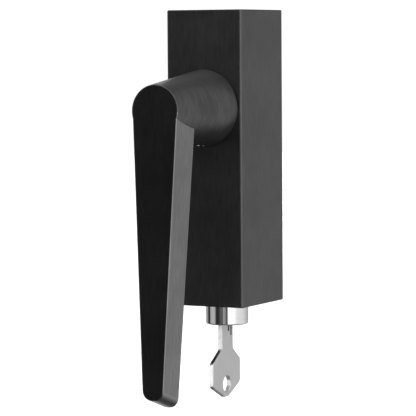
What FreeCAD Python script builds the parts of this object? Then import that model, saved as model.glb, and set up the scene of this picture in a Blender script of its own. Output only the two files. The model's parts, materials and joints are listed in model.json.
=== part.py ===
"""Lockable window handle on a box housing, with its key.

Frame: the origin is where the handle's axis meets the sash.  +Y goes into the sash, -Y is the
room side, +Z is up and +X is to the user's right.  Lengths are in millimetres.  The stations
along Y are depths in front of the sash, so a depth of 37 is at y = -37.
"""
import FreeCAD, Part
import math
import os
import re

import Sketcher

V = FreeCAD.Vector
doc = FreeCAD.newDocument("window_handle")
sheet = doc.addObject("Spreadsheet::Sheet", "Sizes")

SIZES = {
    # housing
    "housing_width": 34.0,
    "housing_depth": 37.0,
    "housing_height": 120.0,
    "axis_below_top": 39.5,
    "housing_wall": 2.5,
    "housing_edge": 1.2,
    "housing_rim": 0.35,
    "small_gap": 0.1,
    "run_gap": 0.05,
    # fixing to the sash
    "plate_thick": 3.0,
    "fixing_spacing": 43.0,
    "fixing_hole": 2.65,
    "fixing_head": 5.1,
    "boss_radius": 5.0,
    "boss_height": 2.0,
    "hook_width": 16.0,
    "hook_height": 1.1,
    "hook_thick": 1.5,
    "lug_inner": 7.5,
    "lug_width": 6.0,
    "lug_height": 8.0,
    "set_screw": 2.0,
    "set_screw_length": 7.0,
    # handle
    "neck_gap": 0.15,
    "neck_base": 15.5,
    "neck_end": 10.2,
    "neck_rim": 0.5,
    "neck_length": 41.3,
    "face_lean": 1.8,
    "finger_room": 25.7,
    "back_lean": 2.95,
    "lever_top_width": 19.9,
    "lever_taper": 2.74,
    "tip_front": 113.0,
    "tip_back": 117.5,
    "tip_round": 3.9,
    "lever_edge": 0.5,
    "hub_radius": 8.0,
    "hub_tail": 2.5,
    "ring_thick": 1.0,
    "ring_seat": 1.0,
    "ring_stand": 1.6,
    "washer_thick": 0.6,
    "washer_width": 5.0,
    "bush_wall": 1.5,
    "flange_width": 2.0,
    "flange_thick": 1.5,
    "spindle_width": 7.0,
    "spindle_reach": 24.0,
    "socket_depth": 30.5,
    "spindle_chamfer": 0.8,
    "grub_radius": 2.3,
    "grub_length": 9.0,
    "grub_offset": 4.0,
    "guide_wall": 1.2,
    "guide_rim": 2.0,
    "guide_lip": 1.0,
    # index disc and detent
    "lock_axis_depth": 17.7,
    "disc_radius": 12.0,
    "disc_thick": 5.0,
    "disc_gap": 0.3,
    "notch_floor": 7.6,
    "detent_offset": 3.05,
    "ball_radius": 2.25,
    "ball_gap": 0.03,
    "dimple_depth": 0.5,
    "spring_room": 3.7,
    "spring_wire": 0.35,
    "pin_radius": 1.5,
    "pin_circle": 9.0,
    "pin_seat": 3.8,
    "pin_reach": 2.2,
    # mechanism case
    "case_rear_wall": 0.95,
    "case_top": 17.0,
    "cover_thick": 2.0,
    "bore_gap": 0.35,
    "screw_radius": 1.5,
    "screw_boss": 2.6,
    "screw_side": 11.0,
    "screw_top": 13.4,
    "screw_rise": 20.9,
    "boss_tall": 8.0,
    "screw_head": 2.8,
    "cover_screw_radius": 1.25,
    "cover_screw_length": 8.0,
    "cover_screw_side": 11.3,
    "cover_screw_rise": 8.9,
    "relief_inner": 6.8,
    "relief_outer": 12.2,
    "relief_top": 17.5,
    "relief_rise": 27.9,
    # lock barrel and plug
    "plug_radius": 6.5,
    "barrel_wall": 2.25,
    "barrel_stand": 8.85,
    "barrel_length": 27.85,
    "collar_width": 2.75,
    "collar_thick": 2.5,
    "dowel_radius": 0.9,
    "dowel_offset": 1.45,
    "dowel_length": 5.5,
    "plug_lip": 0.9,
    "plug_lip_thick": 1.2,
    "plug_recess": 0.1,
    "plug_rise": 2.0,
    "clip_seat": 1.0,
    "clip_thick": 0.8,
    "clip_stand": 1.1,
    "tail_radius": 3.0,
    "tail_length": 13.5,
    "cam_pin_radius": 1.0,
    "cam_pin_rise": 6.9,
    "cam_gap": 0.15,
    "bolt_lift": 4.5,
    "bolt_width": 9.0,
    "bolt_gap": 0.6,
    "bolt_shoulder": 22.0,
    "blade_width": 5.0,
    "blade_thick": 4.6,
    # key and wafers
    "key_thick": 2.0,
    "key_offset": 1.7,
    "key_blade": 7.2,
    "key_reach": 25.35,
    "key_shank": 9.4,
    "shank_length": 10.05,
    "bow_offset": 0.7,
    "bow_width": 24.4,
    "bow_slope": 5.3,
    "bow_straight": 9.7,
    "bow_point": 5.0,
    "bow_tip_width": 3.6,
    "bow_round": 2.2,
    "key_hole": 3.3,
    "key_hole_edge": 5.3,
    "key_edge": 0.3,
    "groove_depth": 0.55,
    "groove_from": 5.0,
    "groove_width": 1.3,
    "groove_run": 2.95,
    "rebate_width": 1.0,
    "rebate_run": 4.95,
    "cut_width": 2.4,
    "wafer_count": 5.0,
    "wafer_pitch": 3.6,
    "wafer_first": 4.75,
    "wafer_thick": 1.2,
    "wafer_half": 2.6,
    "wafer_rim": 0.6,
    "wafer_lug": 1.7,
    "lug_half": 0.6,
    "lug_travel": 1.2,
    "wafer_spring": 0.5,
    "wafer_spring_length": 3.0,
}

PLANES = {"front": "XZ_Plane", "side": "YZ_Plane", "top": "XY_Plane"}
TURNS = {
    "Z": FreeCAD.Rotation(),
    "Y": FreeCAD.Rotation(V(1, 0, 0), -90),
    "X": FreeCAD.Rotation(V(0, 1, 0), 90),
}
SIDES = (("right", ""), ("left", "-"))
SIZE_NAME = re.compile(r"[a-z]+(?:_[a-z]+)+")

for row, (alias, number) in enumerate(SIZES.items(), start=1):
    sheet.set(f"A{row}", alias)
    sheet.set(f"B{row}", str(number))
    sheet.setAlias(f"B{row}", alias)
doc.recompute()


# ---------------------------------------------------------------- helpers

def formula(text):
    """Point every size name in the text at its cell of the sheet."""
    return SIZE_NAME.sub(lambda name: f"Sizes.{name.group(0)}", str(text))


def cell(alias):
    """Read one size from the sheet."""
    return float(sheet.get(alias))


def bind(obj, **formulas):
    """Tie properties of an object to formulas of size names."""
    for prop, text in formulas.items():
        obj.setExpression(prop, formula(text))
    return obj


def primitive(kind, name, at, along="Z", **sizes):
    """A Part primitive whose own Z runs along an axis from the point `at`."""
    obj = bind(doc.addObject(f"Part::{kind}", name), **sizes)
    obj.Placement = FreeCAD.Placement(V(), TURNS[along])
    for axis, text in zip("xyz", at):
        obj.setExpression(f"Placement.Base.{axis}", formula(text))
    return obj


def box(name, x, y, z):
    """A block from three (low, high) pairs."""
    low = [pair[0] for pair in (x, y, z)]
    spans = [f"({high}) - ({start})" for start, high in (x, y, z)]
    return primitive("Box", name, low, Length=spans[0], Width=spans[1], Height=spans[2])


def block(name, half, y, z):
    """A block that is centred on x = 0."""
    return box(name, (f"-({half})", half), y, z)


def rod_y(name, radius, y, x="0", z="0"):
    """A cylinder along Y between the two ends of `y`."""
    return primitive("Cylinder", name, (x, y[0], z), "Y", Radius=radius, Height=f"({y[1]}) - ({y[0]})")


def rod_z(name, radius, z, x="0", y="0"):
    """A cylinder along Z between the two ends of `z`."""
    return primitive("Cylinder", name, (x, y, z[0]), "Z", Radius=radius, Height=f"({z[1]}) - ({z[0]})")


def cone_y(name, radii, y, x="0", z="0"):
    """A cone along Y with one radius at each end of `y`."""
    return primitive("Cone", name, (x, y[0], z), "Y", Radius1=radii[0], Radius2=radii[1],
                     Height=f"({y[1]}) - ({y[0]})")


def fuse(name, *pieces):
    """Join objects into one."""
    joined = doc.addObject("Part::MultiFuse", name)
    joined.Shapes = list(pieces)
    return joined


def cut(name, base, *tools):
    """Take tools away from a base."""
    result = doc.addObject("Part::Cut", name)
    result.Base = base
    result.Tool = tools[0] if len(tools) == 1 else fuse(f"{name}_tools", *tools)
    return result


def group(name, *pieces):
    """Keep equal pieces together as one object of several solids."""
    together = doc.addObject("Part::Compound", name)
    together.Links = list(pieces)
    return together


def computed(name, shape):
    """An object whose shape is worked out here from sizes read off the sheet."""
    feature = doc.addObject("Part::Feature", name)
    feature.Shape = shape
    return feature


def sketch(body, name, plane, outlines=(), circles=(), offset="0"):
    """A sketch of closed outlines and circles, each point and radius held by a formula."""
    drawn = body.newObject("Sketcher::SketchObject", name)
    origin_plane = next(p for p in body.Origin.OriginFeatures if p.Role == PLANES[plane])
    drawn.AttachmentSupport = (origin_plane, "")
    drawn.MapMode = "FlatFace"
    drawn.setExpression("AttachmentOffset.Base.z", formula(offset))
    for outline in outlines:
        draw_outline(drawn, outline)
    for across, up, radius in circles:
        circle = Part.Circle(V(1, 1, 0), V(0, 0, 1), 1)
        index = drawn.addGeometry(circle)
        hold_point(drawn, index, 3, across, up)
        held = drawn.addConstraint(Sketcher.Constraint("Radius", index, 1.0))
        drawn.setExpression(f"Constraints[{held}]", formula(radius))
    return drawn


def draw_outline(drawn, points):
    """Closed straight outline: each corner is joined to the next and held from the origin."""
    count = len(points)
    turn = [2 * math.pi * step / count for step in range(count + 1)]
    rough = [V(20 * math.cos(angle), 20 * math.sin(angle), 0) for angle in turn]
    first = drawn.GeometryCount
    for step in range(count):
        drawn.addGeometry(Part.LineSegment(rough[step], rough[step + 1]))
    for step, (across, up) in enumerate(points):
        before = first + (step - 1) % count
        drawn.addConstraint(Sketcher.Constraint("Coincident", before, 2, first + step, 1))
        hold_point(drawn, first + step, 1, across, up)


def hold_point(drawn, index, corner, across, up):
    """Hold a point of a sketch at two distances from the sketch's origin."""
    for kind, text in (("DistanceX", across), ("DistanceY", up)):
        held = drawn.addConstraint(Sketcher.Constraint(kind, -1, 1, index, corner, 1.0))
        drawn.setExpression(f"Constraints[{held}]", formula(text))


def rectangle(x, z):
    """Corners of a rectangle from two (low, high) pairs."""
    return [(x[0], z[0]), (x[1], z[0]), (x[1], z[1]), (x[0], z[1])]


def feature(body, kind, name, profile, depth=None, reverse=False, both=False, edges=None):
    """A PartDesign feature on a sketch; without a depth it goes through everything."""
    made = body.newObject(f"PartDesign::{kind}", name)
    made.Profile = profile
    if depth is None:
        made.Type = "ThroughAll"
    else:
        bind(made, Length=depth)
    made.Reversed = reverse
    made.Midplane = both
    return made


def dress(body, kind, name, amount, wanted):
    """Fillet or chamfer the edges of the body's last feature that pass a test."""
    doc.recompute()
    base = body.Tip
    made = body.newObject(f"PartDesign::{kind}", name)
    names = [f"Edge{n}" for n, edge in enumerate(base.Shape.Edges, start=1) if wanted(edge)]
    made.Base = (base, names)
    bind(made, **{"Radius" if kind == "Fillet" else "Size": amount})
    return made


def runs_along(edge, axis, tolerance=1e-4):
    """True for a straight edge parallel to an axis vector."""
    ends = [vertex.Point for vertex in edge.Vertexes]
    if len(ends) != 2 or edge.Curve.TypeId != "Part::GeomLine":
        return False
    return (ends[1] - ends[0]).normalize().cross(axis).Length < tolerance


def body(name):
    """A new PartDesign body."""
    return doc.addObject("PartDesign::Body", name)


# ---------------------------------------------------------------- shared stations

# housing, front to rear and top to bottom
HALF_WIDTH = "housing_width / 2"
TOP = "axis_below_top"
BOTTOM = "(axis_below_top - housing_height)"
INNER_HALF = "(housing_width / 2 - housing_wall)"
INNER_FRONT = "(housing_wall - housing_depth)"
INNER_TOP = "(axis_below_top - housing_wall)"
INNER_BOTTOM = f"({BOTTOM} + housing_wall)"

# lock axis, barrel and plug
LOCK_Y = "-lock_axis_depth"
BARREL_RADIUS = "(plug_radius + barrel_wall)"
BARREL_BOTTOM = f"({BOTTOM} - barrel_stand)"
BARREL_TOP = f"({BARREL_BOTTOM} + barrel_length)"
COLLAR_RADIUS = f"({BARREL_RADIUS} + collar_width)"
COLLAR_TOP = f"({INNER_BOTTOM} + collar_thick)"
DOWEL_X = f"-({BARREL_RADIUS} + dowel_offset)"
DOWEL_START = f"({INNER_BOTTOM} + small_gap)"
PLUG_BOTTOM = f"({BARREL_BOTTOM} + plug_recess)"
PLUG_TOP = f"({BARREL_TOP} + plug_rise)"
CLIP_BOTTOM = f"({BARREL_TOP} + run_gap)"
CLIP_GROOVE = "(plug_radius - clip_seat)"
CLIP_RADIUS = "(plug_radius + clip_stand)"
TAIL_TOP = f"({PLUG_TOP} + tail_length)"
BOLT_BOTTOM = f"({PLUG_TOP} + bolt_gap)"
CAM_PIN_Z = f"({BOLT_BOTTOM} + cam_pin_rise)"
CHANNEL_HALF = "(bolt_width / 2 + run_gap)"
CHANNEL_BOTTOM = f"({PLUG_TOP} + bolt_gap / 2)"

# mechanism case between the bush's flange and the rear of the barrel
BUSH_REAR = f"({INNER_FRONT} + flange_thick)"
CASE_FRONT = f"({BUSH_REAR} + small_gap)"
CASE_REAR = f"({LOCK_Y} + {BARREL_RADIUS} + case_rear_wall)"
COVER_REAR = f"({CASE_REAR} + cover_thick)"
CASE_HALF = f"({INNER_HALF} - 2 * small_gap)"
CASE_BOTTOM = f"({COLLAR_TOP} + small_gap)"
LUG_DEPTH = f"(-{COVER_REAR} - plate_thick - small_gap)"
SCREW_LOW = f"({CASE_BOTTOM} + screw_rise)"
SCREW_PLACES = [("screw_side", "screw_top"), ("-screw_side", "screw_top"),
                ("screw_side", SCREW_LOW), ("-screw_side", SCREW_LOW)]
COVER_SCREW_Z = f"({CASE_BOTTOM} + cover_screw_rise)"
SET_SCREW_X = "(lug_inner + lug_width / 2)"
SET_SCREW_Y = f"-(plate_thick + {LUG_DEPTH}) / 2"

# handle and index disc
FACE = "(housing_depth + neck_length)"
BACK = "(housing_depth + finger_room)"
BUSH_OUTER = "(hub_radius + bush_wall)"
RING_BORE = "(hub_radius - ring_seat)"
RING_OUTER = "(hub_radius + ring_stand)"
GROOVE_FRONT = f"({BUSH_REAR} + run_gap)"
GROOVE_REAR = f"({GROOVE_FRONT} + ring_thick + small_gap)"
HUB_END = f"({BUSH_REAR} + hub_tail)"
SOCKET_END = f"({HUB_END} - socket_depth)"
WASHER_RADIUS = "(hub_radius + washer_width)"
WASHER_SEAT = "(-housing_depth - washer_thick - run_gap)"
NECK_FACE = "(-housing_depth - neck_gap)"
GRUB_Y = "(-housing_depth - grub_offset)"
SPINDLE_CORNER = "(spindle_width * 0.7072)"
SPINDLE_BORE = f"({SPINDLE_CORNER} + bore_gap)"
GUIDE_SLEEVE = f"({SPINDLE_BORE} + guide_wall)"
GUIDE_RIM = f"({GUIDE_SLEEVE} + guide_rim)"
DISC_FRONT = "(-lock_axis_depth - disc_thick / 2)"
DISC_REAR = "(disc_thick / 2 - lock_axis_depth)"
CAVITY_RADIUS = "(disc_radius + disc_gap)"
CAVITY_FRONT = f"({DISC_FRONT} - disc_gap)"
BALL_REACH = f"({SPINDLE_CORNER} + detent_offset) * 0.7072"
BALL_Y = f"({DISC_FRONT} - ball_gap - ball_radius)"
POCKET_END = f"({BALL_Y} - ball_radius - run_gap - spring_room)"

# key: the blade's middle is offset from the lock axis, and the bow's from the blade's
BLADE_Y = "(-lock_axis_depth - key_offset)"
BLADE_FRONT = f"({BLADE_Y} - key_blade / 2)"
BLADE_REAR = f"({BLADE_Y} + key_blade / 2)"
KEY_TIP = f"({BARREL_BOTTOM} + key_reach)"
KEY_STEP = f"({BARREL_BOTTOM} - small_gap)"
BOW_Y = f"({BLADE_Y} - bow_offset)"
BOW_START = f"({BARREL_BOTTOM} - shank_length)"
BOW_TOP = f"({BOW_START} - bow_slope)"
BOW_LOW = f"({BOW_TOP} - bow_straight)"
BOW_BOTTOM = f"({BOW_LOW} - bow_point)"
GROOVE_Y = (f"({BLADE_Y} - key_shank / 2 + groove_from)",
            f"({BLADE_Y} - key_shank / 2 + groove_from + groove_width)")
REBATE_Y = (f"({BLADE_REAR} - rebate_width)", BLADE_REAR)
SPRING_X = "(wafer_half + wafer_lug / 2 + run_gap)"


# ---------------------------------------------------------------- housing and its fixing

def make_housing():
    """Open-backed cover: a square tube closed at the front, top and bottom."""
    shell = body("housing")
    outline = sketch(shell, "housing_outline", "front",
                     [rectangle((f"-{HALF_WIDTH}", HALF_WIDTH), (BOTTOM, TOP))])
    feature(shell, "Pad", "housing_block", outline, "housing_depth")
    inside = sketch(shell, "housing_inside", "front",
                    [rectangle((f"-{INNER_HALF}", INNER_HALF), (INNER_BOTTOM, INNER_TOP))])
    feature(shell, "Pocket", "housing_hollow", inside, "housing_depth - housing_wall", reverse=True)
    bosses = sketch(shell, "boss_places", "front", offset=f"-{INNER_FRONT}",
                    circles=[(x, z, "screw_boss") for x, z in SCREW_PLACES])
    feature(shell, "Pad", "housing_bosses", bosses, "boss_tall", reverse=True)
    threads = sketch(shell, "thread_places", "front", offset=f"-{INNER_FRONT} - boss_tall",
                     circles=[(x, z, "screw_radius") for x, z in SCREW_PLACES])
    feature(shell, "Pocket", "boss_threads", threads, "boss_tall + housing_wall / 2", reverse=True)
    hub = sketch(shell, "hub_place", "front", circles=[("0", "0", BUSH_OUTER)])
    feature(shell, "Pocket", "hub_hole", hub, reverse=True)
    below = sketch(shell, "bottom_places", "top", offset=f"{INNER_BOTTOM} + small_gap",
                   circles=[("0", LOCK_Y, f"{BARREL_RADIUS} + run_gap"),
                            (SET_SCREW_X, SET_SCREW_Y, "set_screw + small_gap"),
                            (f"-{SET_SCREW_X}", SET_SCREW_Y, "set_screw + small_gap")])
    feature(shell, "Pocket", "bottom_holes", below, "housing_wall + 2 * small_gap")
    hook_y = ("-(plate_thick + hook_thick) / 2 - small_gap", "(hook_thick - plate_thick) / 2 + small_gap")
    hook_half = "(hook_width / 2 + small_gap)"
    slot = sketch(shell, "hook_place", "top", [rectangle((f"-{hook_half}", hook_half), hook_y)],
                  offset=f"{INNER_TOP} - small_gap")
    feature(shell, "Pocket", "hook_slot", slot, "hook_height + 2 * small_gap", reverse=True)
    upright = V(0, 0, 1)
    front = -cell("housing_depth")
    dress(shell, "Fillet", "front_edges", "housing_edge",
          lambda edge: runs_along(edge, upright) and edge.BoundBox.Center.y < front + 0.01
          and edge.Length > cell("housing_height") / 2)
    top = cell("axis_below_top")
    ends = (top, top - cell("housing_height"))
    dress(shell, "Chamfer", "rims", "housing_rim",
          lambda edge: edge.BoundBox.ZLength < 0.01 and edge.BoundBox.YMax < -0.01
          and any(abs(edge.BoundBox.Center.z - end) < 0.01 for end in ends)
          and edge.BoundBox.XLength > cell("housing_width") / 2)
    return shell


def make_base_plate():
    """Plate that is screwed to the sash; the housing hooks over it and is pinned below."""
    plate = body("base_plate")
    half = f"({INNER_HALF} - run_gap)"
    low, high = f"({INNER_BOTTOM} + run_gap)", f"({INNER_TOP} - run_gap)"
    outline = sketch(plate, "plate_outline", "front", [rectangle((f"-{half}", half), (low, high))])
    feature(plate, "Pad", "plate", outline, "plate_thick")
    spots = [("0", "fixing_spacing / 2"), ("0", "-fixing_spacing / 2")]
    bosses = sketch(plate, "sash_boss_places", "front",
                    circles=[(x, z, "boss_radius") for x, z in spots])
    feature(plate, "Pad", "sash_bosses", bosses, "boss_height", reverse=True)
    lug_z = (low, f"{low} + lug_height")
    lug_x = ("lug_inner", "lug_inner + lug_width")
    mirrored = ("-lug_inner - lug_width", "-lug_inner")
    lugs = sketch(plate, "lug_places", "front", [rectangle(lug_x, lug_z), rectangle(mirrored, lug_z)],
                  offset="plate_thick")
    feature(plate, "Pad", "lugs", lugs, LUG_DEPTH)
    hook = sketch(plate, "hook_outline", "front", offset="(plate_thick - hook_thick) / 2",
                  outlines=[rectangle(("-hook_width / 2", "hook_width / 2"),
                                      (f"{high} - housing_wall", f"{high} + hook_height"))])
    feature(plate, "Pad", "hook", hook, "hook_thick")
    holes = sketch(plate, "fixing_hole_places", "front", offset="-boss_height - small_gap",
                   circles=[(x, z, "fixing_hole") for x, z in spots])
    feature(plate, "Pocket", "fixing_holes", holes, reverse=True)
    heads = sketch(plate, "head_places", "front", offset="plate_thick / 2",
                   circles=[(x, z, "fixing_head") for x, z in spots])
    feature(plate, "Pocket", "head_recesses", heads, reverse=True)
    guide = sketch(plate, "guide_place", "front", circles=[("0", "0", GUIDE_SLEEVE)])
    feature(plate, "Pocket", "guide_hole", guide, reverse=True)
    threads = sketch(plate, "set_screw_places", "top", offset=f"{low} - small_gap",
                     circles=[(SET_SCREW_X, SET_SCREW_Y, "set_screw"),
                              (f"-{SET_SCREW_X}", SET_SCREW_Y, "set_screw")])
    feature(plate, "Pocket", "set_screw_threads", threads, "lug_height + 2 * small_gap", reverse=True)
    return plate


def make_spindle_guide():
    """Nylon ring in the base plate that steadies the square spindle."""
    sleeve = rod_y("guide_ring", GUIDE_SLEEVE, ("-plate_thick", "0"))
    lip = rod_y("guide_rim", GUIDE_RIM, ("-plate_thick - guide_lip", "-plate_thick"))
    bore = rod_y("guide_bore", SPINDLE_BORE, ("-plate_thick - guide_lip - small_gap", "small_gap"))
    return cut("spindle_guide", fuse("guide_solid", sleeve, lip), bore)


def make_housing_set_screws():
    """Two grub screws that pin the housing's bottom wall to the plate's lugs."""
    screws = []
    for side, sign in SIDES:
        start = f"{BOTTOM} + small_gap"
        thread = rod_z(f"set_thread_{side}", "set_screw", (start, f"{start} + set_screw_length"),
                       f"{sign}{SET_SCREW_X}", SET_SCREW_Y)
        screws.append(cut(f"set_screw_{side}", thread,
                          hex_socket(f"set_socket_{side}", "set_screw / 2", "set_screw", "Z",
                                     (f"{sign}{SET_SCREW_X}", SET_SCREW_Y, start))))
    return group("housing_set_screws", *screws)


def hex_socket(name, radius, depth, along, at):
    """The hexagonal recess of a socket screw, from its face inwards."""
    return primitive("Prism", name, at, along, Circumradius=radius, Height=depth)


# ---------------------------------------------------------------- handle

def make_lever_handle():
    """Cast lever: a cone from the housing out to a flat tapering grip that hangs down."""
    lever = body("lever_handle")
    make_grip(lever)
    make_neck(lever)
    socket_half = "(spindle_width / 2 + run_gap)"
    square = rectangle((f"-{socket_half}", socket_half), (f"-{socket_half}", socket_half))
    socket = sketch(lever, "socket_outline", "front", [square], offset=f"-{HUB_END} - small_gap")
    feature(lever, "Pocket", "spindle_socket", socket, f"{HUB_END} - {SOCKET_END} + small_gap", reverse=True)
    grub = sketch(lever, "grub_place", "top", circles=[("0", GRUB_Y, "grub_radius")])
    feature(lever, "Pocket", "grub_hole", grub, "neck_base + grub_radius")
    tip = -cell("tip_front") + cell("tip_round") + cell("lever_edge")
    dress(lever, "Fillet", "tip_corners", "tip_round",
          lambda edge: edge.BoundBox.ZMax < tip and edge.BoundBox.YLength > cell("tip_round")
          and abs(edge.BoundBox.Center.x) > 1)
    dress(lever, "Fillet", "grip_edges", "lever_edge", on_grip_outline)
    return lever


def make_grip(lever):
    """Flat bar between a leaning face and a leaning back, with flanks that close to the tip."""
    side = sketch(lever, "grip_side", "side", [[
        (f"-{FACE}", "0"), (f"-{BACK}", "0"),
        (f"-{BACK} - tan(back_lean) * tip_back", "-tip_back"),
        (f"-{FACE} - tan(face_lean) * tip_front", "-tip_front")]])
    feature(lever, "Pad", "grip", side, "lever_top_width + 2 * neck_base", both=True)
    below = "(tip_back + neck_end)"
    top, tip = "lever_top_width / 2", f"(lever_top_width / 2 - tan(lever_taper) * {below})"
    wide = "(lever_top_width + neck_base)"
    flanks = [[(f"{sign}{top}", "0"), (f"{sign}{wide}", "0"),
               (f"{sign}{wide}", f"-{below}"), (f"{sign}{tip}", f"-{below}")] for sign in ("", "-")]
    taper = sketch(lever, "grip_flanks", "front", flanks)
    feature(lever, "Pocket", "grip_taper", taper, reverse=True)


def make_neck(lever):
    """Turned cone with its hub, ring groove and washer recess, cut off by the grip's face."""
    slope = "(neck_base - neck_end) / neck_length"
    beyond = f"({FACE} + neck_end)"
    half = [(HUB_END, "0"), (HUB_END, "hub_radius"), (GROOVE_REAR, "hub_radius"),
            (GROOVE_REAR, RING_BORE), (GROOVE_FRONT, RING_BORE), (GROOVE_FRONT, "hub_radius"),
            (WASHER_SEAT, "hub_radius"), (WASHER_SEAT, f"{WASHER_RADIUS} + small_gap"),
            (NECK_FACE, f"{WASHER_RADIUS} + small_gap"), (NECK_FACE, "neck_base - neck_rim"),
            (f"{NECK_FACE} - neck_rim", "neck_base"),
            (f"-{beyond}", f"neck_base - {slope} * ({beyond} - housing_depth)"), (f"-{beyond}", "0")]
    profile = sketch(lever, "neck_profile", "side", [half])
    neck = lever.newObject("PartDesign::Revolution", "neck")
    neck.Profile = profile
    neck.ReferenceAxis = (profile, ["H_Axis"])
    neck.Angle = 360
    above = "neck_base"
    ahead = [(f"-{FACE} + tan(face_lean) * {above}", above),
             (f"-{FACE} - tan(face_lean) * {above}", f"-{above}"),
             (f"-{beyond} - {above}", f"-{above}"), (f"-{beyond} - {above}", above)]
    face = sketch(lever, "face_plane", "side", [ahead])
    feature(lever, "Pocket", "face_cut", face, both=True)


def on_grip_outline(edge):
    """True for the edges round the grip's face and back, but not where the neck meets it."""
    face = cell("housing_depth") + cell("neck_length")
    back = cell("housing_depth") + cell("finger_room")
    for depth, lean in ((face, cell("face_lean")), (back, cell("back_lean"))):
        off = [abs(point.y + depth - math.tan(math.radians(lean)) * point.z)
               for point in edge.discretize(5)]
        if max(off) < 0.01:
            return depth == face or edge.BoundBox.ZMin < -2 * cell("neck_base")
    return False


def make_spindle():
    """Square bar from inside the neck, through the lock and out into the sash."""
    half = "spindle_width / 2"
    bar = body("spindle")
    square = sketch(bar, "spindle_section", "front", offset=f"-{SOCKET_END} - small_gap",
                    outlines=[rectangle((f"-{half}", half), (f"-{half}", half))])
    feature(bar, "Pad", "spindle_bar", square, f"spindle_reach - {SOCKET_END} - small_gap", reverse=True)
    dress(bar, "Chamfer", "spindle_ends", "spindle_chamfer",
          lambda edge: edge.BoundBox.YLength < 0.01)
    return bar


def make_handle_grub_screw():
    """Grub screw in the neck's underside that holds the lever on the spindle."""
    end = "spindle_width / 2 + grub_length"
    thread = rod_z("grub_thread", "grub_radius", (f"-({end})", "-spindle_width / 2"), "0", GRUB_Y)
    socket = hex_socket("grub_socket", "grub_radius / 2", "grub_radius", "Z",
                        ("0", GRUB_Y, f"-({end})"))
    return cut("handle_grub_screw", thread, socket)


def make_hub_ring():
    """Split retaining ring in the hub's groove, behind the bush."""
    span = (f"{GROOVE_FRONT} + small_gap / 2", f"{GROOVE_REAR} - small_gap / 2")
    outer = rod_y("hub_ring_disc", RING_OUTER, span)
    inner = rod_y("hub_ring_bore", f"{RING_BORE} + run_gap", (f"{span[0]} - 1", f"{span[1]} + 1"))
    split = block("hub_ring_split", "ring_thick", (f"{span[0]} - 1", f"{span[1]} + 1"),
                  ("0", f"2 * {RING_OUTER}"))
    return cut("hub_retaining_ring", outer, inner, split)


def make_thrust_washer():
    """Thin washer under the neck that the lever turns on."""
    span = ("-housing_depth - washer_thick", "-housing_depth")
    disc = rod_y("washer_disc", WASHER_RADIUS, span)
    bore = rod_y("washer_bore", "hub_radius + small_gap", (f"{span[0]} - 1", f"{span[1]} + 1"))
    return cut("thrust_washer", disc, bore)


def make_front_bush():
    """Flanged bush in the housing's front wall that carries the handle's hub."""
    sleeve = rod_y("bush_sleeve", BUSH_OUTER, ("-housing_depth", INNER_FRONT))
    flange = rod_y("bush_flange", f"{BUSH_OUTER} + flange_width", (INNER_FRONT, BUSH_REAR))
    bore = rod_y("bush_bore", "hub_radius + run_gap", ("-housing_depth - 1", f"{BUSH_REAR} + 1"))
    return cut("front_bush", fuse("bush_solid", sleeve, flange), bore)


# ---------------------------------------------------------------- index disc and detent

def make_index_disc():
    """Disc on the spindle with notches for the lock and dimples for the four rest positions."""
    disc = body("index_disc")
    rim = sketch(disc, "disc_outline", "front", circles=[("0", "0", "disc_radius")],
                 offset=f"-{DISC_REAR}")
    feature(disc, "Pad", "disc", rim, "disc_thick")
    half = "(spindle_width / 2 + run_gap)"
    notch = "(blade_width / 2 + small_gap)"
    openings = [rectangle((f"-{half}", half), (f"-{half}", half)),
                rectangle((f"-{notch}", notch), ("notch_floor", "disc_radius + 1")),
                rectangle((f"-{notch}", notch), ("-disc_radius - 1", "-notch_floor"))]
    cuts = sketch(disc, "disc_openings", "front", openings, offset=f"-{DISC_REAR}")
    feature(disc, "Pocket", "square_and_notches", cuts, reverse=True, both=True)
    pin = sketch(disc, "pin_place", "front", circles=[("pin_circle", "0", "pin_radius")],
                 offset=f"-{DISC_REAR}")
    feature(disc, "Pocket", "pin_hole", pin, "pin_seat", reverse=True)
    depth = f"{DISC_FRONT} + dimple_depth - ball_radius"
    corners = (("", ""), ("-", ""), ("-", "-"), ("", "-"))
    dimples = [ball(f"dimple_{number}", f"{across}{BALL_REACH}", depth, f"{up}{BALL_REACH}")
               for number, (across, up) in enumerate(corners, start=1)]
    return cut("dimpled_disc", disc, *dimples)


def ball(name, x, y, z):
    """A ball of the detent's size, or the tool that presses its dimple."""
    return primitive("Sphere", name, (x, y, z), Radius="ball_radius")


def make_stop_pin():
    """Pin on the disc's rear face that ends the half turn in the cover's curved slot."""
    return rod_y("stop_pin", "pin_radius", (f"{DISC_REAR} - pin_seat", f"{DISC_REAR} + pin_reach"),
                 "pin_circle")


def make_detent_balls():
    """Two balls that ride on the disc's face on opposite sides of the spindle."""
    balls = [ball(f"detent_ball_{side}", f"{sign}{BALL_REACH}", BALL_Y, f"{sign}{BALL_REACH}")
             for side, sign in SIDES]
    return group("detent_balls", *balls)


def coil(radius, wire, length, turns):
    """A round wire wound along +Z from the origin, with its ends on two planes."""
    path = Part.makeHelix((length - 2 * wire) / turns, length - 2 * wire, radius)
    path.translate(V(0, 0, wire))
    start = Part.Circle(V(radius, 0, wire), V(0, 1, 0), wire)
    return Part.Wire(path.Edges).makePipeShell([Part.Wire(start.toShape())], True, True)


def make_detent_springs():
    """Two coil springs that press the balls onto the disc."""
    reach = math.sqrt(0.5) * (cell("spindle_width") * math.sqrt(0.5) + cell("detent_offset"))
    face = -cell("lock_axis_depth") - cell("disc_thick") / 2 - cell("ball_gap")
    rear = face - 2 * cell("ball_radius") - cell("run_gap")
    length, wire = cell("spring_room"), cell("spring_wire")
    springs = []
    for sign in (1, -1):
        spring = coil(cell("ball_radius") - 2 * wire, wire, length, 3.5)
        spring.Placement = FreeCAD.Placement(V(sign * reach, rear - length, sign * reach), TURNS["Y"])
        springs.append(spring)
    return computed("detent_springs", Part.makeCompound(springs))


# ---------------------------------------------------------------- mechanism case

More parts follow.
